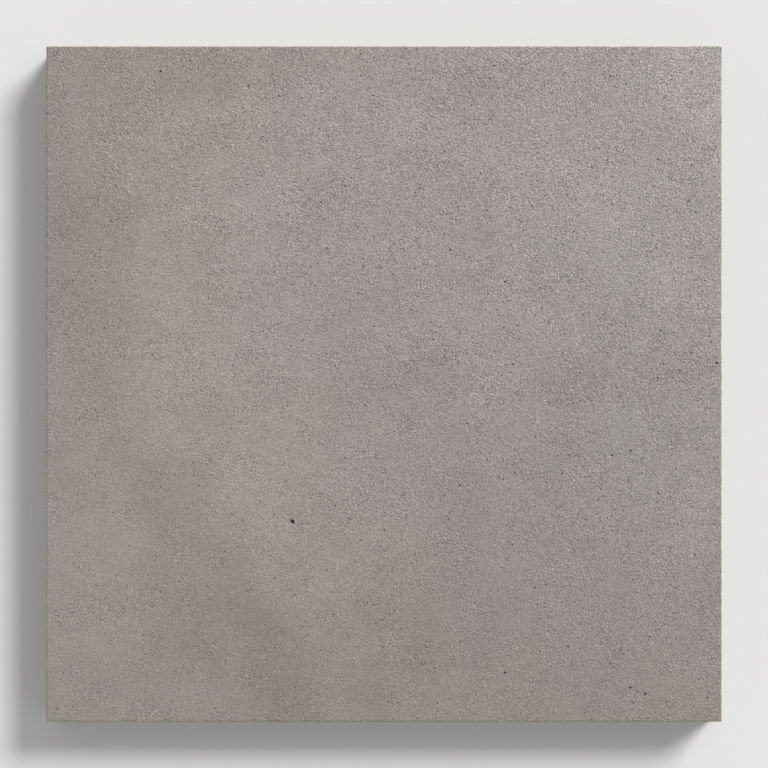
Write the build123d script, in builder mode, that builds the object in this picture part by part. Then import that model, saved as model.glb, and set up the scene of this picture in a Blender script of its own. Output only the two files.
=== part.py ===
# A square concrete paving slab, one solid, lying with its walking face up.
#
# It is cast face down in a rigid mould. The mould gives it a flat, finely
# sanded face with crisp, barely eased edges, and four flat sides that lean
# outwards from the face to the back, so that the slab slips out of the mould.
# The back is the open side of the mould. It is the largest outline of the
# slab, and it beds on the ground.
#
# Frame: the origin is the centre of the back, +Z points up through the
# walking face, and the sides run along X and Y. Sizes are in millimetres.

import os
from build123d import *

side = 450.0  # width and length, over the back
thickness = 40.0  # from the back to the walking face
mould_draft = 2.0  # lean of each side, in degrees from upright
corner_radius = 1.0  # rounding of the four upright corners
arris_radius = 0.8  # rounding where the sides meet the walking face
back_chamfer = 0.5  # ragged edge knocked off the back

# The slab as it leaves the mould: a square prism that narrows upwards.
with BuildPart() as paving_slab:
    with BuildSketch(Plane.XY):
        Rectangle(side, side)
    extrude(amount=thickness, taper=mould_draft)

    # By height the edges fall in three groups: the back, the corners, the face.
    corner_edges = paving_slab.edges().group_by(Axis.Z)[1]
    fillet(corner_edges, corner_radius)

    walking_face = paving_slab.faces().sort_by(Axis.Z)[-1]
    fillet(walking_face.edges(), arris_radius)

    back_face = paving_slab.faces().sort_by(Axis.Z)[0]
    chamfer(back_face.edges(), back_chamfer)

paving_slab.part.label = "paving_slab"

os.makedirs("parts", exist_ok=True)
export_step(paving_slab.part, "parts/paving_slab.step")

face_width = paving_slab.faces().sort_by(Axis.Z)[-1].bounding_box().size.X
litres = paving_slab.part.volume / 1e6
print(f"back {side:.1f} mm, flat of the face {face_width:.1f} mm, volume {litres:.3f} litres")
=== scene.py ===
# %% [markdown]
# # A cast concrete paving slab
#
# This lesson dresses a plain solid slab as real cast concrete. The slab lies on
# its back with the walking face up. Three things make it look right: the form,
# with its eased edges and its air holes, the finish of each kind of surface,
# and a soft light that grazes the sand in the face.
#
# The solid comes first. Everything later is placed from its measured box.

# %% Load the solid slab
import math
import random

import bmesh
import bpy
from mathutils import Euler, Matrix, Vector, noise


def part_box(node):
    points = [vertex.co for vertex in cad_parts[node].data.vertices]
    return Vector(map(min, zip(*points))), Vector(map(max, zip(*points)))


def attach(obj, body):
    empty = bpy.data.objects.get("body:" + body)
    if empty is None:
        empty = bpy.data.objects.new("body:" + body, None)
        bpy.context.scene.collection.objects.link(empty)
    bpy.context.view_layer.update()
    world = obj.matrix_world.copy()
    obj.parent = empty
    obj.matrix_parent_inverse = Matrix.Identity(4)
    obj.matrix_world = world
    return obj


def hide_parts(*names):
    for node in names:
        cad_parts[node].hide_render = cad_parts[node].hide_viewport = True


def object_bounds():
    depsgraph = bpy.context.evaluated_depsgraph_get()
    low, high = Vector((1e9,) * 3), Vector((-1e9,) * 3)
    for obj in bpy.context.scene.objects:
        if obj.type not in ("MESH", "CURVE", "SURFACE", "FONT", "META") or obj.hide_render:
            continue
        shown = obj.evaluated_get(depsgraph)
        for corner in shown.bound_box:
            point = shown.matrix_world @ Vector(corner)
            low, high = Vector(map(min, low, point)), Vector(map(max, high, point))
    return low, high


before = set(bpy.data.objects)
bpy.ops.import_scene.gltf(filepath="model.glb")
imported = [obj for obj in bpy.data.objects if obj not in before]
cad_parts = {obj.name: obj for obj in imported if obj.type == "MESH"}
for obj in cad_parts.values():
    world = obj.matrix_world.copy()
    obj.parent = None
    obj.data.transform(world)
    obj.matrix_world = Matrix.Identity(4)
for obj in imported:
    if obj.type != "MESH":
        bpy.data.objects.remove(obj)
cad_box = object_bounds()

MM = 0.001
back_corner, face_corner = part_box("paving_slab")
widest = face_corner.x - back_corner.x
thickness = face_corner.z - back_corner.z
print(f"slab: {widest / MM:.2f} mm wide, {thickness / MM:.2f} mm thick")

# %% [markdown]
# ## The form the mould gives
#
# The mould leans its four sides outwards so that the slab slips out, and it
# rounds the edges a little. The same shape is cut again here as a fine mesh,
# because a plain solid has no points in the middle of its faces that could
# move. A cube with its top drawn in and its edges bevelled has the exact form.
# It could be extruded from a square as well, but a cube is closed from the
# start, and every later step keeps it closed.

# %% Start from a cube and ease its edges
mould_draft = math.radians(2.0)
corner_radius = 1.0 * MM
arris_radius = 0.8 * MM
back_chamfer = 0.5 * MM
hair = 1e-7


def half_width(height):
    """Half of the slab's width at a height above its back, before the edges are eased."""
    return widest / 2 - (height - back_chamfer) * math.tan(mould_draft)


def ease(mesh, edges, offset, segments):
    """Bevels some edges."""
    bmesh.ops.bevel(
        mesh,
        geom=edges,
        offset=offset,
        offset_type="OFFSET",
        segments=segments,
        profile=0.5,
        affect="EDGES",
        material=-1,
    )


def edges_at(mesh, height):
    """The edges that lie wholly at one height."""
    return [
        edge for edge in mesh.edges
        if all(abs(end.co.z - height) < hair for end in edge.verts)
    ]


slab_mesh = bmesh.new()
bmesh.ops.create_cube(slab_mesh, size=2.0)
for corner in slab_mesh.verts:
    height = thickness if corner.co.z > 0 else 0.0
    corner.co = Vector((
        corner.co.x * half_width(height),
        corner.co.y * half_width(height),
        height,
    ))
upright = [e for e in slab_mesh.edges if abs(e.verts[0].co.z - e.verts[1].co.z) > thickness / 2]
ease(slab_mesh, upright, corner_radius, segments=3)
ease(slab_mesh, edges_at(slab_mesh, thickness), arris_radius, segments=3)
ease(slab_mesh, edges_at(slab_mesh, 0.0), back_chamfer, segments=1)
print("eased form:", len(slab_mesh.faces), "faces")

# %% [markdown]
# ## A mesh fine enough to carry relief
#
# The face needs a point about every 2 mm. Cutting the closed form with planes
# gives evenly spaced points on the face and down the sides at once. Each cut
# only needs the part that lies beyond the last one, which keeps hundreds of
# cuts fast. The back gets every second cut, because its relief is coarser.

# %% Helpers that cut by many planes
face_step = 1.9 * MM
side_step = 3.2 * MM
arris_and_a_half = 1.5 * arris_radius


def cut_along(mesh, faces, direction, places):
    """Cuts faces by a row of planes square to a direction, from the lowest place to the highest."""
    for place in places:
        piece = set(faces)
        for face in faces:
            piece.update(face.edges)
            piece.update(face.verts)
        cut = bmesh.ops.bisect_plane(
            mesh,
            geom=list(piece),
            dist=hair,
            plane_co=direction * place,
            plane_no=direction,
        )
        faces = [
            part for part in cut["geom"]
            if isinstance(part, bmesh.types.BMFace)
            and part.calc_center_median().dot(direction) > place
        ]


def places_across(step, every=1):
    """Evenly spaced places from side to side, clear of the rounded edges."""
    most = int((half_width(thickness) - arris_and_a_half) / step)
    return [k * step for k in range(-most, most + 1) if k % every == 0]


print("planes each way:", len(places_across(face_step)))

# %% [markdown]
# Everything but the back is cut both ways first. The sides are then cut by
# height, and the back comes last with its wider squares.

# %% Cut the form into small squares
along_x = Vector((1, 0, 0))
along_y = Vector((0, 1, 0))
along_z = Vector((0, 0, 1))
dead_level = 0.999
nearly_upright = 0.1
first_row = 0.6


def facing(mesh, test):
    """The faces whose direction passes a test."""
    mesh.normal_update()
    return [face for face in mesh.faces if test(face.normal)]


for direction in (along_x, along_y):
    faces = facing(slab_mesh, lambda normal: normal.z > -dead_level)
    cut_along(slab_mesh, faces, direction, places_across(face_step))
rows = int((thickness - 2 * arris_radius) / side_step)
heights = [back_chamfer + side_step * (k + first_row) for k in range(rows)]
side_faces = facing(slab_mesh, lambda normal: abs(normal.z) < nearly_upright)
cut_along(slab_mesh, side_faces, along_z, heights)
for direction in (along_x, along_y):
    faces = facing(slab_mesh, lambda normal: normal.z < -dead_level)
    cut_along(slab_mesh, faces, direction, places_across(face_step, every=2))
print("cut form:", len(slab_mesh.faces), "faces,", len(slab_mesh.verts), "points")

# %% [markdown]
# ## Relief
#
# No cast face is truly flat. The walking face has long shallow waves and the
# dimples of the sand, the sides are smoother, and the back was the open side
# of the mould, so it was dragged level with a bar, which left furrows and tore
# out pits. The edges round the face and the upright corners have crumbled a
# little here and there. All of it sinks below the surface and never rises, so
# the slab keeps its outer size.

# %% How deep each surface sinks
# For each layer of the relief, its depth, the width of its bumps and its seed.
face_wave = (0.16 * MM, 90 * MM, 3)
face_dimple = (0.05 * MM, 5 * MM, 11)
side_wave = (0.14 * MM, 60 * MM, 51)
side_dimple = (0.06 * MM, 7 * MM, 61)
back_furrow = (0.60 * MM, 8 * MM, 21)
back_dimple = (0.30 * MM, 7 * MM, 31)
back_wave = (0.40 * MM, 45 * MM, 41)
furrows_drawn_out = 8
torn_pit = 6.0 * MM
pit_width = 12 * MM
pits_above = 0.70
# About the least that the back's noise sinks. It is taken off, so the ridges touch
# the ground.
ridge_tops = 0.26 * MM
nearly_level = 0.9


def bumps(place, size, seed):
    """Smooth noise from 0 to 1 whose bumps are about as wide as size."""
    return 0.5 + 0.5 * max(-1.0, min(1.0, noise.noise(place / size + Vector((seed, seed, seed)))))


def dip(place, layer):
    """How far one layer of the relief sinks a place."""
    depth, width, seed = layer
    return depth * bumps(place, width, seed)


def relief(place, normal):
    """How far the surface sinks at a place."""
    if normal.z > nearly_level:
        return dip(place, face_wave) + dip(place, face_dimple)
    if normal.z < -nearly_level:
        dragged = Vector((place.x / furrows_drawn_out, place.y, place.z))
        torn = max(0.0, bumps(place, pit_width, 91) - pits_above)
        sink = (
            dip(dragged, back_furrow)
            + dip(place, back_dimple)
            + dip(place, back_wave)
            + torn_pit * torn
        )
        return max(0.0, sink - ridge_tops)
    return dip(place, side_wave) + dip(place, side_dimple)


print(f"face: at most {(face_wave[0] + face_dimple[0]) / MM:.2f} mm of relief")
print(f"sides: at most {(side_wave[0] + side_dimple[0]) / MM:.2f} mm of relief")

# %% [markdown]
# The edges crumble in another way. Most of an edge keeps its line and only its
# grains stand out, and here and there a crumb is missing. Noise that counts
# only above a threshold does that, because it is zero over the greater part of
# the edge. The back's edge was knocked harder than the rest.

# %% Move the points inwards
arris_band = 1.3 * MM
grain_wear = 0.10
grain_width = 2.5 * MM
crumb_wear = 1.6
crumb_width = 5 * MM
crumbs_above = 0.62
back_edge_wear = 1.6
nearly_flat = 0.98
on_two_sides = 0.2


def wear(place):
    """How far an edge has crumbled at a place: up to 0.1 mm, and more where a crumb is gone."""
    nibble = max(0.0, bumps(place, crumb_width, 71) - crumbs_above)
    return (grain_wear * bumps(place, grain_width, 81) + crumb_wear * nibble) * MM


slab_mesh.normal_update()
moves = []
for point in slab_mesh.verts:
    away_from_face = thickness - point.co.z
    sink = relief(point.co, point.normal)
    on_arris = away_from_face < arris_band and point.normal.z < nearly_flat
    on_back_edge = point.co.z < 2 * back_chamfer and abs(point.normal.z) < nearly_flat
    on_corner = min(abs(point.normal.x), abs(point.normal.y)) > on_two_sides
    if on_arris or on_corner:
        sink += wear(point.co)
    if on_back_edge:
        # A metre further along, the same noise gives this edge crumbs of its own.
        sink += back_edge_wear * wear(point.co + along_x)
    moves.append((point, point.normal * -sink))
for point, move in moves:
    point.co += move
    point.co.z = max(point.co.z, 0.0)
print("relief on", len(moves), "points")

# %% [markdown]
# ## Air holes
#
# Air is trapped against the mould while the concrete is shaken down. In the
# face it leaves pinholes of one to two millimetres, and one blowhole. The sides
# have more and larger ones. A bubble is a ball that lies just under the
# surface and breaks through, so its mouth is narrower than its inside. Balls
# subtracted from the slab give exactly that sharp rim and that dark inside,
# which a painted dot never has. The clearest holes are listed one by one. The
# faint ones, which nobody could tell from their neighbours, come from a seeded
# draw, with more of them to the right and up, where the face is more open.

# %% Where the air holes are
face_half = half_width(thickness)
blowhole = Vector((-60.5, -91.0, 0.0)) * MM
blowhole_width = 3.0 * MM

# Across, up and width of the pinholes that stand out to the eye, in millimetres.
clear_pinholes = [
    (-148, 207, 1.5), (220, 14, 1.8), (44, 89, 1.4), (181, 4, 1.3), (-38, -123, 1.2),
    (80, -191, 1.6), (163, -201, 1.7), (173, -205, 1.8), (165, -211, 1.2), (163, -44, 1.6),
    (151, -47, 1.4), (50, -67, 1.5), (122, -174, 1.3), (118, -59, 1.3),
]
pinholes_in_all = 40
least_apart = 6.0
clear_of_edge = 6.0
more_to_the_right = 1.5
more_upwards = 1.3
least_pinhole = 1.1
pinhole_spread = 0.3

face_draw = random.Random(11)
drawn_half = face_half / MM - clear_of_edge
pinholes = list(clear_pinholes)
while len(pinholes) < pinholes_in_all:
    across = drawn_half * (1 - 2 * face_draw.random() ** more_to_the_right)
    up = drawn_half * (1 - 2 * face_draw.random() ** more_upwards)
    width = least_pinhole + pinhole_spread * face_draw.random()
    others = pinholes + [(blowhole.x / MM, blowhole.y / MM, 0.0)]
    if all(math.hypot(across - x, up - y) > least_apart for x, y, _ in others):
        pinholes.append((across, up, width))
print("pinholes:", len(clear_pinholes), "by hand,", len(pinholes) - len(clear_pinholes), "drawn")

# %% [markdown]
# A ball a little wider than its mouth sits just below the surface. Its mouth is
# measured a hair under the solid's face, because the relief has sunk the face
# by about that much.

# %% Put a ball under every hole of the face
radius_to_mouth = 0.56
mouth_sink = 0.08 * MM


def bubble(mesh, mouth, outward, width, stretch=1.0, turn=0.0, detail=2):
    """Adds a ball under a surface that breaks through it with a mouth of the given width."""
    ball = width * radius_to_mouth
    sunk = math.sqrt(ball * ball - width * width / 4)
    frame_here = outward.to_track_quat("Z", "Y").to_matrix().to_4x4()
    place = (
        Matrix.Translation(mouth - outward * sunk)
        @ frame_here
        @ Matrix.Rotation(turn, 4, "Z")
        @ Matrix.Diagonal((stretch, 1 / stretch, 1.0, 1.0))
    )
    bmesh.ops.create_icosphere(mesh, subdivisions=detail, radius=ball, matrix=place)


def on_face(x, y):
    """A place on the walking face, given in millimetres."""
    return Vector((x * MM, y * MM, thickness - mouth_sink))


holes_mesh = bmesh.new()
for x, y, width in pinholes:
    bubble(holes_mesh, on_face(x, y), along_z, width * MM, stretch=1.05, turn=x)
bubble(
    holes_mesh,
    blowhole + along_z * (thickness - mouth_sink),
    along_z,
    blowhole_width,
    stretch=1.12,
    turn=math.radians(-45),
    detail=3,
)
print("holes in the face:", len(pinholes) + 1)

# %% [markdown]
# The sides were the walls of the mould, where air climbs and sticks, so their
# holes are wider, up to about 5 mm, and more sit near the back, which was
# the top while the slab was cast. Small ones far outnumber large ones. A
# seeded random draw gives the same holes on every run, and a draw that comes
# too near an earlier hole is skipped.

# %% Scatter the holes of the sides
draw = random.Random(7)
holes_a_side = 26
least_side_hole = 0.8
side_hole_spread = 3.6
mostly_small = 3.5
mostly_near_back = 0.8
most_stretched = 0.25
clear_of_rims = 3 * MM
clear_of_corners = 6 * MM
side_holes = []


def scatter_side(turn):
    """Adds the holes of one side. The side faces along +X before it is turned about Z."""
    spin = Matrix.Rotation(turn, 3, "Z")
    outward = spin @ Vector((math.cos(mould_draft), 0.0, math.sin(mould_draft)))
    for _ in range(holes_a_side):
        width = (least_side_hole + side_hole_spread * draw.random() ** mostly_small) * MM
        span = thickness - 2 * clear_of_rims
        height = thickness - clear_of_rims - span * draw.random() ** mostly_near_back
        across = (face_half - clear_of_corners) * (2 * draw.random() - 1)
        stretch = 1.0 + most_stretched * draw.random()
        mouth = spin @ Vector((half_width(height) - mouth_sink, across, height))
        if any((mouth - other).length < wide + width for other, wide in side_holes):
            continue
        side_holes.append((mouth, width))
        bubble(holes_mesh, mouth, outward, width, stretch, turn=draw.random() * math.pi)


for quarter in range(4):
    scatter_side(quarter * math.pi / 2)
print("holes in the sides:", len(side_holes))

# %% [markdown]
# ## Nicks in the edge
#
# A crisp concrete edge loses a grain here and there. The walking face has a
# few notches about half a millimetre deep, and the back edge, which nobody sees
# once the slab is laid, has lost larger crumbs. Each is a squashed, turned ball
# that just cuts the edge. The two notches that show are given on the front
# edge, and the draw adds the others on the other three sides. Two balls
# that overlap can leave the skin open where they are cut, so the draw keeps
# them apart.

# %% Nick the edges
# Along the side, which side, length and depth of the notches that show, in millimetres.
face_nicks = [(-118, "front", 2.6, 0.5), (-2, "front", 2.2, 0.4)]
side_turns = {"right": 0.0, "rear": math.pi / 2, "left": math.pi, "front": -math.pi / 2}
nicks_in_all = 9
least_between = 50.0
least_nick = 1.6
nick_spread = 1.2
depth_to_length = 0.2
other_sides = ("rear", "right", "left")
while len(face_nicks) < nicks_in_all:
    side_name = other_sides[len(face_nicks) % len(other_sides)]
    along = drawn_half * (2 * face_draw.random() - 1)
    length = least_nick + nick_spread * face_draw.random()
    taken = [other for other, side, _, _ in face_nicks if side == side_name]
    if all(abs(along - other) > least_between for other in taken):
        face_nicks.append((along, side_name, length, depth_to_length * length))

# How much lower than its rim a nick's ball is centred, how far out of the side as a
# share of its radius, before the depth comes off, and how it is squashed.
below_rim = 0.2 * MM
out_of_side = 0.6
squash = (0.75, 1.0, 0.9, 1.0)


def nick(mesh, along, side_name, height, length, depth):
    """Takes a crumb out of an edge at some height."""
    spin = Matrix.Rotation(side_turns[side_name], 4, "Z")
    sign = -1 if side_name in ("rear", "left") else 1
    ball = length / 2
    outwards = half_width(height) + ball * out_of_side - depth
    place = (
        spin
        @ Matrix.Translation((outwards, sign * along, height))
        @ Euler((draw.random(), draw.random(), draw.random())).to_matrix().to_4x4()
        @ Matrix.Diagonal(squash)
    )
    bmesh.ops.create_icosphere(mesh, subdivisions=2, radius=ball, matrix=place)


for along, side_name, length, depth in face_nicks:
    nick(holes_mesh, along * MM, side_name, thickness - below_rim, length * MM, depth * MM)
print("nicks round the face:", len(face_nicks))

# %% [markdown]
# The back's edge gets one nick in each of nine equal stretches of every side,
# somewhere in the middle three fifths of the stretch. A free draw could leave
# one stretch bare and crowd the next, and crowded balls overlap.

# %% Knock crumbs off the back's edge
back_nicks = 9
stretch_start = 0.2
stretch_share = 0.6
back_clear_of_corners = 8 * MM
least_crumb = 2.0
crumb_spread = 4.0
crumb_depth_to_length = 0.22
for side_name in side_turns:
    for k in range(back_nicks):
        in_stretch = k + stretch_start + stretch_share * draw.random()
        along = (face_half - back_clear_of_corners) * (2 * in_stretch / back_nicks - 1)
        length = (least_crumb + crumb_spread * draw.random() ** 2) * MM
        nick(holes_mesh, along, side_name, -below_rim, length, length * crumb_depth_to_length)
print("nicks round the back:", len(side_turns) * back_nicks)

# %% [markdown]
# ## Nodes in short
#
# Each finish is a tree of nodes, and a few helpers keep the trees readable. They
# add a node and fill its sockets, do sums, make a soft step, and give smooth
# noise or separate grains of a stated width in millimetres.

# %% Helpers for the finishes


def add(tree, kind, sockets=None, **settings):
    """Adds a node, sets its options, and fills or links its input sockets."""
    made = tree.nodes.new("ShaderNode" + kind)
    for name, value in settings.items():
        setattr(made, name, value)
    for key, value in (sockets or {}).items():
        if isinstance(value, bpy.types.NodeSocket):
            tree.links.new(value, made.inputs[key])
        else:
            made.inputs[key].default_value = value
    return made


def sums(tree, operation, *values):
    """A Math node on two or three values."""
    return add(tree, "Math", dict(enumerate(values)), operation=operation).outputs[0]


def ramp(tree, value, low, high, to_low=0.0, to_high=1.0):
    """A smooth step from to_low to to_high as the value goes from low to high."""
    sockets = {"Value": value, 1: low, 2: high, 3: to_low, 4: to_high}
    return add(tree, "MapRange", sockets, interpolation_type="SMOOTHSTEP").outputs[0]


def soft_noise(tree, place, size, detail=0.0, roughness=0.5, seed=0.0):
    """Noise about 0, mostly within 0.5 either way, with bumps about size millimetres wide."""
    moved = add(tree, "VectorMath", {0: place, 1: (seed, seed, seed)}, operation="ADD").outputs[0]
    sockets = {"Vector": moved, "Scale": 1 / size, "Detail": detail, "Roughness": roughness}
    made = add(tree, "TexNoise", sockets)
    return sums(tree, "SUBTRACT", made.outputs["Fac"], 0.5)


def grains(tree, place, size, seed=0.0):
    """Random shades from 0 to 1, one for each grain, and the distance from its middle."""
    moved = add(tree, "VectorMath", {0: place, 1: (seed, seed, seed)}, operation="ADD").outputs[0]
    made = add(tree, "TexVoronoi", {"Vector": moved, "Scale": 1 / size})
    shade = add(tree, "SeparateColor", {0: made.outputs["Color"]}).outputs[0]
    return shade, made.outputs["Distance"]


helpers = (add, sums, ramp, soft_noise, grains)
print("helpers:", ", ".join(helper.__name__ for helper in helpers))

# %% [markdown]
# Two more helpers open and close a finish. Every pattern reads the slab's own
# coordinates, so it stays put on the concrete from any side. The shader at the
# end takes a colour and a roughness, and a bump for what is too fine for the
# mesh.

# %% Open and close a finish


def new_finish(name):
    """A material with an empty tree, and the slab's own coordinates in millimetres."""
    material = bpy.data.materials.new(name)
    material.use_nodes = True
    tree = material.node_tree
    tree.nodes.clear()
    own = add(tree, "TexCoord").outputs["Object"]
    place = add(tree, "VectorMath", {0: own, "Scale": 1 / MM}, operation="SCALE").outputs[0]
    return material, tree, place


def close_finish(tree, colour, roughness, height, height_size, specular):
    """Ends a tree with a bump, a shader and the output."""
    bump = add(tree, "Bump", {"Height": height, "Distance": height_size, "Strength": 1.0})
    shader = add(
        tree,
        "BsdfPrincipled",
        {"Base Color": colour, "Roughness": roughness, "Normal": bump.outputs[0]},
    )
    shader.inputs["Specular IOR Level"].default_value = specular
    add(tree, "OutputMaterial", {"Surface": shader.outputs[0]})


print("a finish runs from", new_finish.__name__, "to", close_finish.__name__)

# %% [markdown]
# ## The walking face
#
# The face is a warm mid grey, with soft clouds where the water left the concrete
# sooner or later. It is painted paler towards one corner and darker along the
# opposite edges, as painted light falling from that corner. A cloud is an ellipse
# with a soft or a firm rim, and a little noise bends all of them so that none
# looks drawn. The darker a cloud, the warmer and redder it is.

# %% Clouds of the face
warm_grey = (0.3301, 0.2944, 0.2622, 1.0)
cool_grey = (0.3153, 0.2909, 0.2820, 1.0)
stain_tint = (1.012, 0.993, 0.995, 1.0)

# Middle across and up, half width, half height, turn in degrees, change of tone in
# percent, and where the rim starts to fade, as a share of the way out.
clouds = [
    (-118, 75, 62, 115, 0, 4.0, 0.3), (-142, -4, 38, 50, 0, 3.5, 0.65),
    (-70, 10, 40, 60, 0, 3.0, 0.3), (-76, -58, 54, 50, 25, 5.5, 0.6),
    (-58, -122, 36, 28, -45, 4.5, 0.5), (-82, 116, 40, 30, 10, 3.0, 0.3),
    (-140, -70, 20, 28, 0, -4.0, 0.7), (-160, -62, 14, 18, 0, -2.5, 0.3),
    (-125, -138, 36, 40, -20, -5.0, 0.5), (-95, -172, 42, 30, -45, -5.0, 0.5),
    (-70, -190, 26, 60, 20, -7.0, 0.4), (-88, -155, 26, 16, -35, -4.0, 0.3),
    (-138, -182, 34, 26, 0, -5.5, 0.3), (-230, 112, 34, 26, 0, -9.0, 0.3),
    (-196, 84, 36, 76, 0, -5.0, 0.55), (-195, 188, 50, 36, 0, -5.0, 0.3),
    (-156, 90, 12, 50, 0, 2.0, 0.3), (-200, -120, 44, 54, 0, 5.0, 0.3),
    (-103, 194, 10, 9, 0, -9.0, 0.3), (-120, 204, 34, 20, 0, -3.0, 0.3),
    (0, 190, 16, 12, 0, -4.5, 0.3), (-87, 20, 10, 16, 0, -3.0, 0.3),
    (-60, 218, 190, 32, 0, -5.0, 0.3), (20, -225, 230, 44, 0, -2.5, 0.3),
    (62, 195, 40, 30, -25, -5.0, 0.3), (112, 200, 46, 22, 0, -6.0, 0.3),
    (170, 165, 30, 42, 20, -4.5, 0.3), (205, 200, 26, 42, 10, 8.0, 0.5),
    (144, 120, 16, 34, 44, 5.0, 0.3), (178, 86, 12, 24, 40, 3.5, 0.3),
    (195, 64, 30, 20, -15, 8.0, 0.3), (75, 0, 34, 14, 35, 5.0, 0.3),
    (90, 70, 14, 22, 0, 3.5, 0.3), (142, 42, 14, 16, 0, -5.0, 0.3),
    (92, 124, 16, 30, 0, 3.5, 0.3), (40, 50, 18, 44, 0, 3.0, 0.3),
    (155, 5, 66, 26, 10, -6.5, 0.3), (25, 8, 34, 26, 0, -3.5, 0.3),
    (212, -88, 24, 50, 0, 5.0, 0.3), (70, -36, 90, 14, 0, -3.0, 0.3),
    (183, -80, 34, 36, 0, 3.5, 0.3), (55, -80, 18, 44, 0, -5.0, 0.3),
    (50, -142, 38, 44, 0, -6.0, 0.4), (-6, -152, 20, 12, -10, -8.0, 0.3),
    (28, -175, 20, 26, 0, -6.0, 0.4), (-8, -195, 26, 22, 0, -5.0, 0.3),
    (110, -182, 60, 26, 0, -3.0, 0.3), (15, 170, 18, 18, 0, 4.0, 0.3),
    (60, 110, 22, 70, 0, -4.0, 0.3), (-8, -85, 38, 38, 0, 4.0, 0.3),
    (215, -190, 22, 40, 0, 4.0, 0.3),
]
print(len(clouds), "clouds")

# %% [markdown]
# Each cloud is a Mapping node that lays a unit circle over its ellipse, so the
# distance from the middle is 1 on the ellipse, wherever it lies and however wide
# it is. The cloud fades from its own share of that distance to a little past
# the ellipse. The mapping is so tall that the height doesn't count.

# %% Add the clouds up
bend_size = 40
bend_width = 24.0
cloud_end = 1.25
cloud_height = 1000.0


def cloud_tone(tree, place):
    """The clouds' change of tone, added up."""
    sockets = {"Vector": place, "Scale": 1 / bend_size, "Detail": 4.0}
    bend = add(tree, "TexNoise", sockets).outputs["Color"]
    bend = add(tree, "VectorMath", {0: bend, 1: (0.5, 0.5, 0.5)}, operation="SUBTRACT").outputs[0]
    bend = add(tree, "VectorMath", {0: bend, "Scale": bend_width}, operation="SCALE").outputs[0]
    bent = add(tree, "VectorMath", {0: place, 1: bend}, operation="ADD").outputs[0]
    total = 0.0
    for x, y, half_x, half_y, turn, percent, rim in clouds:
        sockets = {
            "Vector": bent,
            "Location": (x, y, thickness / MM),
            "Rotation": (0.0, 0.0, math.radians(turn)),
            "Scale": (half_x, half_y, cloud_height),
        }
        at = add(tree, "Mapping", sockets, vector_type="TEXTURE").outputs[0]
        away = add(tree, "VectorMath", {0: at}, operation="LENGTH").outputs["Value"]
        faded = ramp(tree, away, rim, cloud_end, percent / 100, 0.0)
        total = sums(tree, "ADD", faded, total)
    return total


darkest = min(percent for _, _, _, _, _, percent, _ in clouds)
palest = max(percent for _, _, _, _, _, percent, _ in clouds)
print(f"clouds change the tone by {darkest} to {palest} percent each")

# %% [markdown]
# Over the clouds lies the grain: fine sand, nearly one shade per grain, with
# some dark grains and some pale ones, and pinpricks where the paste didn't
# close. A cell pattern gives every grain one shade of its own, which smooth
# noise can't do. Smooth noise is right for the paste between the grains.

# %% Sand and pinpricks
fine_grain = 0.6
coarse_grain = 2.1
pale_grains_from = 0.975
pale_grains_full = 0.985
pale_grain_gain = 0.3
paste_patch = 3.0
relief_bump = 1.3
share_blur = 0.02
dot_core = 0.4


def shaded(tree, factor, first, second, tone):
    """A colour between two greys, made lighter or darker by a tone."""
    mixed = add(tree, "Mix", {0: factor, 6: first, 7: second}, data_type="RGBA").outputs[2]
    return add(tree, "VectorMath", {0: mixed, "Scale": tone}, operation="SCALE").outputs[0]


def sand_tone(tree, place, fine, coarse, paste):
    """The grain's change of tone: fine and coarse sand, a few pale grains, and the paste."""
    shade, _ = grains(tree, place, fine_grain)
    coarse_shade, _ = grains(tree, place, coarse_grain, seed=9.0)
    tone = sums(tree, "MULTIPLY", sums(tree, "SUBTRACT", shade, 0.5), fine)
    tone = sums(tree, "MULTIPLY_ADD", sums(tree, "SUBTRACT", coarse_shade, 0.5), coarse, tone)
    pale = ramp(tree, shade, pale_grains_from, pale_grains_full)
    tone = sums(tree, "MULTIPLY_ADD", pale, pale_grain_gain, tone)
    between = soft_noise(tree, place, paste_patch, detail=2.0, seed=3.0)
    return sums(tree, "MULTIPLY_ADD", between, paste, tone)


def sand_relief(tree, place):
    """The height of the sand: soft bumps about twice as wide as a fine grain."""
    return soft_noise(tree, place, relief_bump, detail=1.0, seed=77.0)


def pinpricks(tree, place, spacing, share, reach):
    """Sparse dots: 1 in the middle of a dot, falling to 0 at its rim."""
    shade, away = grains(tree, place, spacing, seed=17.0)
    chosen = ramp(tree, shade, 1.0 - share - share_blur, 1.0 - share + share_blur)
    dot = ramp(tree, away, dot_core * reach, reach, 1.0, 0.0)
    return sums(tree, "MULTIPLY", chosen, dot)


print(f"grains {fine_grain} mm wide, with coarser ones of {coarse_grain} mm")

# %% [markdown]
# The tone is added up in layers. First come slopes, paler upwards and to the
# right, with a twist that lifts the upper right and the lower left corner. The
# slopes are painted light. Then come the clouds with a finer mottle, and last the
# grain. The sand shows more upwards and to the right, which is painted light too:
# the grain's contrast rises where the light grazes it. The sand is also uneven,
# because the sanding opened the paste more in one place than in the next. Slopes
# are changes from the middle of the face to its edge, so they hold for a slab of
# any width.

# %% The layers of the tone
base_tone = 1.016
# The slopes of the tone are painted light, paler towards the upper right.
painted_light_upwards = 0.120
painted_light_rightwards = 0.070
painted_light_to_corner = 0.075
mottle_tone = 0.22
# The sand's slopes are painted light: the grain shows more where the light grazes it.
sand_painted_light_upwards = 0.20
sand_painted_light_rightwards = 0.19
sand_unevenness = 2.0


def across_face(tree, place):
    """How far right and up a place is, from -1 to 1 over the face, and the two multiplied."""
    axes = add(tree, "SeparateXYZ", {0: place})
    right = sums(tree, "MULTIPLY", axes.outputs[0], MM / face_half)
    up = sums(tree, "MULTIPLY", axes.outputs[1], MM / face_half)
    return right, up, sums(tree, "MULTIPLY", right, up)


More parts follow.
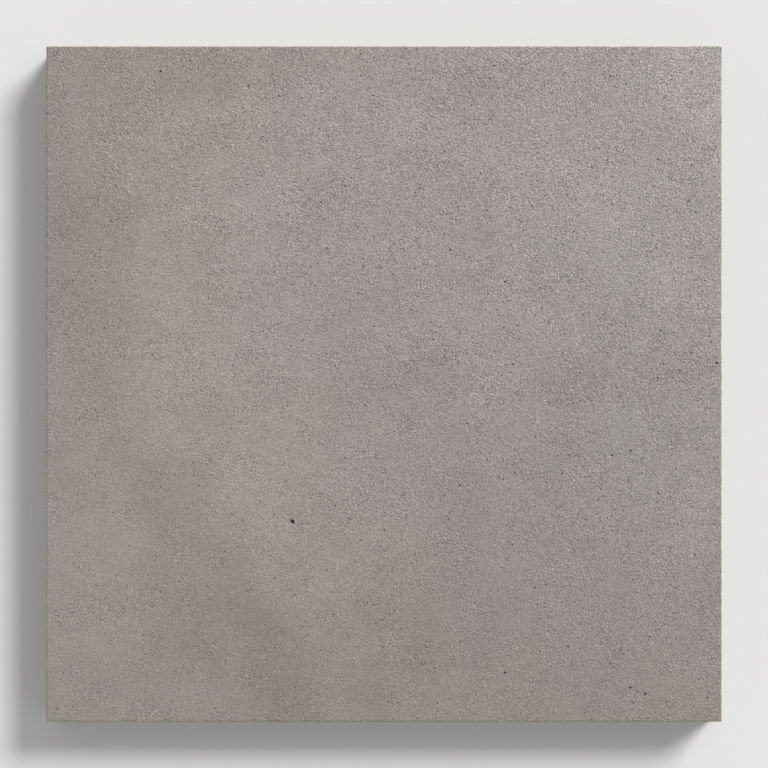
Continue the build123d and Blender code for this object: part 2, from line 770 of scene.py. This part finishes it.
def base_and_painted_light_tone(tree, right, up, corner):
    """The tone without clouds or grain: a base and the slopes of painted light."""
    tone = sums(tree, "MULTIPLY_ADD", up, painted_light_upwards, base_tone)
    tone = sums(tree, "MULTIPLY_ADD", right, painted_light_rightwards, tone)
    return sums(tree, "MULTIPLY_ADD", corner, painted_light_to_corner, tone)


def stain_tone(tree, place):
    """The clouds, and a finer mottle over them."""
    mottle = soft_noise(tree, place, 30.0, detail=5.0, roughness=0.55, seed=40.0)
    return sums(tree, "MULTIPLY_ADD", mottle, mottle_tone, cloud_tone(tree, place))


def sand_and_painted_light_strength(tree, place, right, up):
    """How much the sand shows at a place, about 1: more upwards and to the right as painted light,
    and uneven from the sanding.
    """
    strength = sums(tree, "MULTIPLY_ADD", up, sand_painted_light_upwards, 1.0)
    strength = sums(tree, "MULTIPLY_ADD", right, sand_painted_light_rightwards, strength)
    uneven = soft_noise(tree, place, 25.0, detail=5.0, roughness=0.65, seed=90.0)
    return sums(tree, "MULTIPLY_ADD", uneven, sand_unevenness, strength)


painted_light_corner_tone = base_tone + painted_light_upwards + painted_light_rightwards + painted_light_to_corner
print(f"before the clouds: {base_tone} in the middle, {painted_light_corner_tone:.3f} in the palest corner")

# %% [markdown]
# The hue runs between a warm and a cool grey. It is cooler to the right and up,
# a little warmer again along the right edge and towards the upper and lower
# ones, and warmer in the dark stains. Wide soft patches keep it from looking
# ruled.

# %% The hue of the face
base_coolness = 0.545
cooler_rightwards = 0.32
cooler_upwards = 0.155
cooler_to_corner = 0.05
warmer_up_and_down = -0.205
right_edge_from = 0.72
right_edge_full = 0.88
warmer_at_right_edge = -0.14
cooler_where_pale = 0.6
patch_coolness = 0.38


def face_coolness(tree, place, right, up, corner, stain):
    """How cool the face is: 0 gives the warm grey and 1 the cool one."""
    coolness = sums(tree, "MULTIPLY_ADD", right, cooler_rightwards, base_coolness)
    coolness = sums(tree, "MULTIPLY_ADD", up, cooler_upwards, coolness)
    coolness = sums(tree, "MULTIPLY_ADD", corner, cooler_to_corner, coolness)
    up_and_down = sums(tree, "MULTIPLY", up, up)
    coolness = sums(tree, "MULTIPLY_ADD", up_and_down, warmer_up_and_down, coolness)
    at_right_edge = ramp(tree, right, right_edge_from, right_edge_full)
    coolness = sums(tree, "MULTIPLY_ADD", at_right_edge, warmer_at_right_edge, coolness)
    coolness = sums(tree, "MULTIPLY_ADD", stain, cooler_where_pale, coolness)
    patches = soft_noise(tree, place, 70.0, detail=2.0, seed=60.0)
    return sums(tree, "MULTIPLY_ADD", patches, patch_coolness, coolness)


turns_from = (1 - right_edge_from) * face_half / MM
turned_by = (1 - right_edge_full) * face_half / MM
print(f"turns warmer from {turns_from:.0f} to {turned_by:.0f} mm away from the right edge")

# %% [markdown]
# The finish joins tone and hue. The sander left faint marks along the slab, which
# are noise drawn out four times. The grain also goes into the bump, so that the
# slanting light brings it out. Pinpricks sink into the bump and are painted dark at
# once, and that dark is painted shade.

# %% The finish of the face
# The pinpricks' dark is painted shade in the pores.
prick_painted_shade = -0.8
prick_depth = -0.8
marks_drawn_out = 4.0
mark_width = 4.0
mark_tone = 0.12
reddest_stain = -0.16
face_relief = 0.80 * MM
face_roughness = 0.9
sand_roughness = 0.1


def face_finish():
    """Sanded concrete, for the face and the arris round it."""
    material, tree, place = new_finish("sanded_concrete")
    right, up, corner = across_face(tree, place)
    stain = stain_tone(tree, place)
    # The slopes in this tone are painted light; the clouds and mottle are stains.
    tone = sums(tree, "ADD", base_and_painted_light_tone(tree, right, up, corner), stain)

    # The sand's strength is painted light towards the upper right, and uneven from the sanding.
    strength = sand_and_painted_light_strength(tree, place, right, up)
    sand = sand_tone(tree, place, fine=0.55, coarse=0.06, paste=0.12)
    prick = pinpricks(tree, place, spacing=1.5, share=0.06, reach=0.34)
    prick = sums(tree, "MULTIPLY", prick, strength)
    tone = sums(tree, "MULTIPLY", tone, sums(tree, "MULTIPLY_ADD", sand, strength, 1.0))
    painted_prick_shade = sums(tree, "MULTIPLY_ADD", prick, prick_painted_shade, 1.0)
    tone = sums(tree, "MULTIPLY", tone, painted_prick_shade)
    sockets = {"Vector": place, "Scale": (1 / marks_drawn_out, 1.0, 1.0)}
    drawn = add(tree, "Mapping", sockets).outputs[0]
    marks = soft_noise(tree, drawn, mark_width, detail=2.0, seed=33.0)
    tone = sums(tree, "MULTIPLY_ADD", marks, mark_tone, tone)

    coolness = face_coolness(tree, place, right, up, corner, stain)
    colour = shaded(tree, coolness, warm_grey, cool_grey, tone)
    reddened = {0: ramp(tree, stain, 0.0, reddest_stain), 6: colour, 7: stain_tint}
    colour = add(tree, "Mix", reddened, data_type="RGBA", blend_type="MULTIPLY").outputs[2]

    height = sums(tree, "MULTIPLY", sand_relief(tree, place), strength)
    height = sums(tree, "MULTIPLY_ADD", prick, prick_depth, height)
    roughness = sums(tree, "MULTIPLY_ADD", sand, sand_roughness, face_roughness)
    close_finish(tree, colour, roughness, height, face_relief, specular=0.3)
    return material


finishes = [face_finish()]
print("finish:", finishes[-1].name, "with", len(finishes[-1].node_tree.nodes), "nodes")

# %% [markdown]
# ## The sides
#
# The sides kept the mould's smooth skin: less sand, more cement, and stretched
# cloudy marks where the concrete settled in lifts. Noise squeezed five times in
# height gives such lying marks.

# %% The finish of the sides
side_tone = 1.02
side_coolness = 0.45
lifts_squeezed = 5.0
lift_width = 60.0
lift_tone = 0.30
lift_coolness = 0.6
side_blotch_width = 14.0
side_blotch_tone = 0.20
# The pinpricks' dark is painted shade in the pores.
side_prick_painted_shade = -0.5


def side_finish():
    """Concrete with the mould's skin on it, for the four sides."""
    material, tree, place = new_finish("mould_cast_concrete")
    sockets = {"Vector": place, "Scale": (1.0, 1.0, lifts_squeezed)}
    lying = add(tree, "Mapping", sockets).outputs[0]
    lifts = soft_noise(tree, lying, lift_width, detail=4.0, roughness=0.6, seed=5.0)
    blotches = soft_noise(tree, place, side_blotch_width, detail=4.0, roughness=0.6, seed=25.0)
    tone = sums(tree, "MULTIPLY_ADD", lifts, lift_tone, side_tone)
    tone = sums(tree, "MULTIPLY_ADD", blotches, side_blotch_tone, tone)
    sand = sand_tone(tree, place, fine=0.35, coarse=0.05, paste=0.2)
    prick = pinpricks(tree, place, spacing=2.0, share=0.12, reach=0.32)
    tone = sums(tree, "MULTIPLY", tone, sums(tree, "ADD", sand, 1.0))
    painted_prick_shade = sums(tree, "MULTIPLY_ADD", prick, side_prick_painted_shade, 1.0)
    tone = sums(tree, "MULTIPLY", tone, painted_prick_shade)
    coolness = sums(tree, "MULTIPLY_ADD", lifts, lift_coolness, side_coolness)
    colour = shaded(tree, coolness, warm_grey, cool_grey, tone)
    height = sums(tree, "MULTIPLY_ADD", prick, prick_depth, sand_relief(tree, place))
    close_finish(tree, colour, roughness=0.82, height=height, height_size=0.5 * MM, specular=0.35)
    return material


finishes.append(side_finish())
print("finish:", finishes[-1].name, "with", len(finishes[-1].node_tree.nodes), "nodes")

# %% [markdown]
# ## The back
#
# The back shows what a dragged surface shows: pale ridges, darker furrows, torn
# pits and coarser sand. The tone follows the height, so the paler ridges and the
# darker furrows and pits are painted light and shade. The ridges are noise drawn
# out ten times, in the same direction as the furrows in the mesh.

# %% The finish of the back
ridges_drawn_out = 10.0
ridge_width = 4.0
ridge_and_furrow_painted_light_and_shade = 0.35
ridge_height = 3.5
back_blotch_width = 45.0
back_blotch_tone = 0.35
back_blotch_coolness = 0.5
back_coolness = 0.43
pits_from = -0.12
pits_full = -0.20
pit_painted_shade = -0.12
pit_depth = -1.5
# The pinpricks' dark is painted shade in the pores.
back_prick_painted_shade = -0.4


def back_finish():
    """Rough dragged concrete, for the underside."""
    material, tree, place = new_finish("dragged_concrete")
    sockets = {"Vector": place, "Scale": (1 / ridges_drawn_out, 1.0, 1.0)}
    dragged = add(tree, "Mapping", sockets).outputs[0]
    ridges = soft_noise(tree, dragged, ridge_width, detail=3.0, roughness=0.6, seed=8.0)
    blotches = soft_noise(tree, place, back_blotch_width, detail=5.0, roughness=0.6, seed=28.0)
    hollows = soft_noise(tree, place, 6.0, detail=4.0, roughness=0.6, seed=48.0)
    pits = ramp(tree, hollows, pits_from, pits_full)
    # Ridges painted paler, furrows and pits painted darker: painted light and shade.
    tone = sums(tree, "MULTIPLY_ADD", ridges, ridge_and_furrow_painted_light_and_shade, 1.0)
    tone = sums(tree, "MULTIPLY_ADD", blotches, back_blotch_tone, tone)
    tone = sums(tree, "MULTIPLY_ADD", pits, pit_painted_shade, tone)
    sand = sand_tone(tree, place, fine=0.50, coarse=0.15, paste=0.35)
    prick = pinpricks(tree, place, spacing=2.4, share=0.12, reach=0.32)
    tone = sums(tree, "MULTIPLY", tone, sums(tree, "ADD", sand, 1.0))
    painted_prick_shade = sums(tree, "MULTIPLY_ADD", prick, back_prick_painted_shade, 1.0)
    tone = sums(tree, "MULTIPLY", tone, painted_prick_shade)
    coolness = sums(tree, "MULTIPLY_ADD", blotches, back_blotch_coolness, back_coolness)
    colour = shaded(tree, coolness, warm_grey, cool_grey, tone)
    height = sums(tree, "MULTIPLY_ADD", ridges, ridge_height, sand_relief(tree, place))
    height = sums(tree, "MULTIPLY_ADD", pits, pit_depth, height)
    height = sums(tree, "MULTIPLY_ADD", prick, prick_depth, height)
    close_finish(tree, colour, roughness=0.95, height=height, height_size=1.0 * MM, specular=0.25)
    return material


finishes.append(back_finish())
print("finish:", finishes[-1].name, "with", len(finishes[-1].node_tree.nodes), "nodes")

# %% [markdown]
# ## Inside the air holes
#
# The inside of an air hole is smooth paste, painted darker than the skin: partly
# dirt and partly painted shade. Most of the darkness of a hole is its own shadow,
# so a plain finish is enough.

# %% The finish inside the holes
# The holes' darker tone is partly dirt and partly painted shade.
hole_dirt_and_painted_shade = 0.62
hole_coolness = 0.45
hole_blotch_tone = 0.5


def hole_finish():
    """Smooth paste painted dark with dirt and painted shade, for the inside of the air holes and
    the nicks.
    """
    material, tree, place = new_finish("air_hole_paste_dirt_and_painted_shade")
    blotches = soft_noise(tree, place, 1.2, detail=3.0, seed=12.0)
    tone = sums(tree, "MULTIPLY_ADD", blotches, hole_blotch_tone, hole_dirt_and_painted_shade)
    colour = shaded(tree, hole_coolness, warm_grey, cool_grey, tone)
    close_finish(tree, colour, roughness=0.8, height=blotches, height_size=0.1 * MM, specular=0.3)
    return material


finishes.append(hole_finish())
ON_FACE, ON_SIDE, ON_BACK, IN_HOLE = range(len(finishes))
print("finishes:", [finish.name for finish in finishes])

# %% [markdown]
# ## Give each face its finish
#
# Each face wears the finish of the part of the slab that it lies on, and the
# arris belongs to the walking face. It is chosen before the holes are cut,
# because the cut carries the choice over to the new faces.

# %% Choose the finishes and make the objects
looks_down = -0.5


def mesh_piece(name, mesh):
    """A new object in the scene from a bmesh."""
    data = bpy.data.meshes.new(name)
    mesh.to_mesh(data)
    mesh.free()
    for finish in finishes:
        data.materials.append(finish)
    piece = bpy.data.objects.new(name, data)
    bpy.context.scene.collection.objects.link(piece)
    return piece


slab_mesh.normal_update()
for face in slab_mesh.faces:
    on_arris = face.calc_center_median().z > thickness - arris_band
    if face.normal.z > nearly_level or on_arris:
        face.material_index = ON_FACE
    elif face.normal.z < looks_down:
        face.material_index = ON_BACK
    else:
        face.material_index = ON_SIDE
    face.smooth = True
for face in holes_mesh.faces:
    face.material_index = IN_HOLE
    face.smooth = True

slab = mesh_piece("cast_slab", slab_mesh)
holes = mesh_piece("air_holes", holes_mesh)
print("objects:", slab.name, "and", holes.name)

# %% [markdown]
# ## Cut the holes
#
# A Boolean modifier takes all the balls away from the slab in one go. Its
# result is made a plain mesh, so the finished piece is one closed skin. Round
# each hole the cut leaves faces with many corners, shaped like crescents. They
# are split into triangles here, because a program that splits them later may
# draw the same line in two neighbours, and then the skin isn't closed.

# %% Take the balls away
sharp_edge = math.radians(38)
cut = slab.modifiers.new("air holes", "BOOLEAN")
cut.operation = "DIFFERENCE"
cut.solver = "MANIFOLD"
cut.object = holes
bpy.context.view_layer.update()
whole = slab.evaluated_get(bpy.context.evaluated_depsgraph_get())
pierced = bpy.data.meshes.new_from_object(whole)
slab.modifiers.clear()
slab.data = pierced
bpy.data.objects.remove(holes)

skin = bmesh.new()
skin.from_mesh(pierced)
crescents = [face for face in skin.faces if len(face.verts) > 4]
bmesh.ops.triangulate(skin, faces=crescents, quad_method="BEAUTY", ngon_method="BEAUTY")
open_edges = sum(not edge.is_manifold for edge in skin.edges)
skin.to_mesh(pierced)
skin.free()
pierced.set_sharp_from_angle(angle=sharp_edge)
triangles = sum(len(face.vertices) - 2 for face in pierced.polygons)
print("slab:", len(pierced.polygons), "faces,", triangles, "triangles,", open_edges, "open edges")

# %% [markdown]
# ## A map for painting
#
# When the finish is baked to a picture, the walking face deserves most of it.
# The map gives the face a large square, the back a small one, and lays the
# sides as strips beside them.

# %% Lay out the map
face_share = 0.70
back_share = 0.27
strip_share = 0.065
gap = 0.006
face_hole_depth = 3 * MM


def on_map(place, index, normal):
    """Where a place on the slab lies on the map."""
    across = 0.5 + place.x / widest
    up = 0.5 + place.y / widest
    level = place.z / thickness
    if index == ON_BACK:
        return (1 - gap - back_share * across, gap + back_share * up)
    if index == ON_FACE or (index == IN_HOLE and place.z > thickness - face_hole_depth):
        return (gap + face_share * across, gap + face_share * up)
    if abs(normal.x) > abs(normal.y):
        strip, along = (0 if normal.x > 0 else 1), up
    else:
        strip, along = (2 if normal.y > 0 else 3), across
    foot = face_share + 3 * gap + strip * (strip_share + gap)
    return (gap + face_share * along, foot + strip_share * level)


layer = pierced.uv_layers.new(name="OFBake")
for face in pierced.polygons:
    out_of_slab = Vector((face.center.x, face.center.y, 0.0))
    for corner in face.loop_indices:
        place = pierced.vertices[pierced.loops[corner].vertex_index].co
        layer.uv[corner].vector = on_map(place, face.material_index, out_of_slab)
print("map laid out for", len(pierced.loops), "corners")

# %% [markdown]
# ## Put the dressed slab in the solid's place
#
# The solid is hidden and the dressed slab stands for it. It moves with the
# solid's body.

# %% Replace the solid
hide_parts("paving_slab")
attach(slab, "root")
print(slab.name, "stands for paving_slab")

# %% [markdown]
# ## The floor
#
# The slab lies on a plain pale floor, which is wide enough to have no edge in a
# picture from above. The floor lies a hair lower than the back, so that the two
# never share a plane.

# %% The floor
pale_grey = (0.80, 0.80, 0.79, 1.0)
floor_half = 30.0
floor_drop = 0.2 * MM

floor_mesh = bmesh.new()
bmesh.ops.create_grid(floor_mesh, x_segments=1, y_segments=1, size=floor_half)
floor_data = bpy.data.meshes.new("floor")
floor_mesh.to_mesh(floor_data)
floor_mesh.free()
floor = bpy.data.objects.new("floor", floor_data)
floor.location.z = -floor_drop
bpy.context.scene.collection.objects.link(floor)
floor_finish = bpy.data.materials.new("pale_floor")
floor_finish.use_nodes = True
floor_shader = floor_finish.node_tree.nodes["Principled BSDF"]
floor_shader.inputs["Base Color"].default_value = pale_grey
floor_shader.inputs["Roughness"].default_value = 0.95
floor_shader.inputs["Specular IOR Level"].default_value = 0.1
floor_data.materials.append(floor_finish)
print(f"floor {2 * floor_half:.0f} m wide")

# %% [markdown]
# ## The light
#
# One soft lamp shines from the upper right of the face, low enough to bring out
# the sand. A sun lamp lights the whole slab evenly, and its wide angle softens
# the shadows.

# %% The lamp
lamp_turn = math.radians(45)
lamp_height = math.radians(40)
lamp_width = math.radians(22)
lamp_share = 0.55

lamp_data = bpy.data.lights.new("soft_lamp", "SUN")
lamp_data.angle = lamp_width
lamp_data.energy = lamp_share * math.pi / math.sin(lamp_height)
lamp = bpy.data.objects.new("soft_lamp", lamp_data)
towards_lamp = Vector((
    math.cos(lamp_turn) * math.cos(lamp_height),
    math.sin(lamp_turn) * math.cos(lamp_height),
    math.sin(lamp_height),
))
lamp.rotation_euler = towards_lamp.to_track_quat("Z", "Y").to_euler()
bpy.context.scene.collection.objects.link(lamp)
print(f"lamp {math.degrees(lamp_height):.0f} degrees above the face")

# %% [markdown]
# The sky fills the shadows. Lamp and sky together give a level at which a grey
# renders about as it is written. The backdrop is paler than that sky, so the
# world has two parts: rays that show it, straight, in a reflection or through
# something clear, get the backdrop, and all other rays get the sky.

# %% The sky
sky_strength = 0.45

world = bpy.data.worlds.new("studio")
world.use_nodes = True
world.node_tree.nodes.clear()
white = {"Color": (1.0, 1.0, 1.0, 1.0), "Strength": sky_strength}
lit = add(world.node_tree, "Background", white)
seen = add(world.node_tree, "Background", {"Color": pale_grey, "Strength": 1.0})
path = add(world.node_tree, "LightPath")
shows = path.outputs["Is Camera Ray"]
for kind_of_ray in ("Is Glossy Ray", "Is Transmission Ray"):
    shows = sums(world.node_tree, "MAXIMUM", shows, path.outputs[kind_of_ray])
either = add(world.node_tree, "MixShader", {0: shows, 1: lit.outputs[0], 2: seen.outputs[0]})
add(world.node_tree, "OutputWorld", {"Surface": either.outputs[0]})
bpy.context.scene.world = world
print(f"sky {sky_strength}, lamp {lamp_share}, together {sky_strength + lamp_share:.2f}")

# %% [markdown]
# ## The camera
#
# The camera looks straight down at the face, which fills most of the picture. A
# long lens from far away sees the middle and the edges of the face from nearly
# the same direction.

# %% The camera
face_in_picture = 0.88
lens = 120
sensor = 36

camera_data = bpy.data.cameras.new("camera")
camera_data.lens = lens
camera_data.sensor_width = sensor
picture_width = 2 * face_half / face_in_picture
distance = picture_width * camera_data.lens / camera_data.sensor_width
camera = bpy.data.objects.new("camera", camera_data)
camera.location = (0.0, 0.0, thickness + distance)
bpy.context.scene.collection.objects.link(camera)
bpy.context.scene.camera = camera
bpy.context.scene.view_settings.view_transform = "Standard"
print(f"camera {distance:.2f} m above the face")

# %% [markdown]
# ## The size
#
# The dressed slab may not be larger than the solid, because what fits round the
# one has to fit round the other. The solid's box is printed.

# %% Print the solid's box
solid_size = [round((high - low) / MM, 2) for low, high in zip(*cad_box)]
print("box of the solid:", solid_size, "mm")
